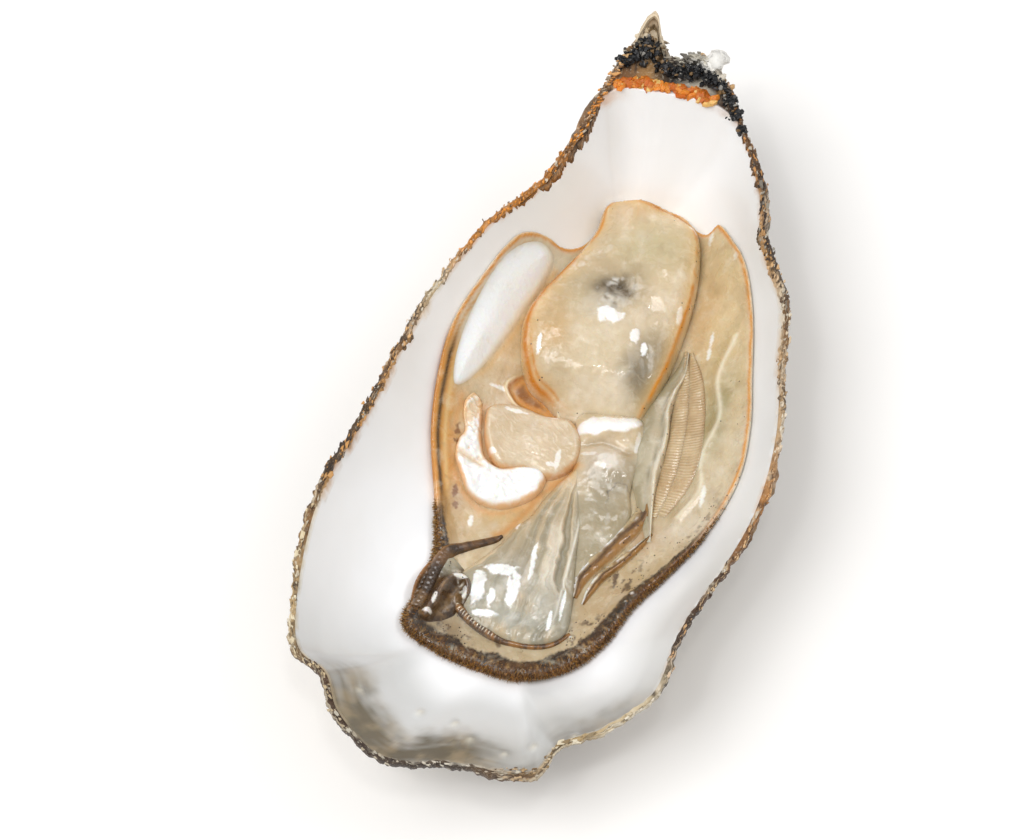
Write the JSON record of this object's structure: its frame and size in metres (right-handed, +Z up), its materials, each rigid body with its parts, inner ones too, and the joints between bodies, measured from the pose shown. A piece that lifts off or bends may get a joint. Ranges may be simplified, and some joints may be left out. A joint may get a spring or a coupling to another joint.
{
  "type": "oyster on the half shell",
  "caption": "Raw oyster lying in its deep, cupped lower shell with a wavy rim, pearly bowl and dark hinge, opened and ready to serve.",
  "frame": {"origin": "middle of the shell's outline, at the level of the surface it rests on", "axes": "+Y from the bill to the hinge, +Z up out of the open side, +X to the right of someone looking down with the hinge away from them"},
  "size_m": [0.0588, 0.11, 0.0282],
  "materials": {
    "nacre": "smooth pearly white inside, rough layered brown and cream outside",
    "ligament": "crumbly near-black",
    "resilium": "moist orange",
    "mantle": "wet translucent cream to olive tan",
    "body_flesh": "wet plump cream",
    "muscle": "wet pinkish beige with fine fibres",
    "white_muscle": "wet glossy white",
    "veil": "wet pleated grey cream",
    "gill": "wet beige with fine cross lines",
    "fringe": "wet dark brown"
  },
  "bodies": {
    "root": {"shell_cup": "nacre", "hinge_ligament": "ligament", "hinge_resilium": "resilium", "mantle_skirt": "mantle", "body_mound": "body_flesh", "adductor_muscle": "muscle", "catch_muscle": "white_muscle", "mantle_lobe_left": "white_muscle", "inner_fold": "veil", "mantle_veil": "veil", "gill_leaf": "gill", "gill_strip_inner": "gill", "gill_strip_outer": "gill", "mantle_ridge_upper": "fringe", "mantle_ridge_lower": "fringe", "mantle_fold_left": "fringe", "mantle_curl": "fringe"}
  },
  "joints": []
}
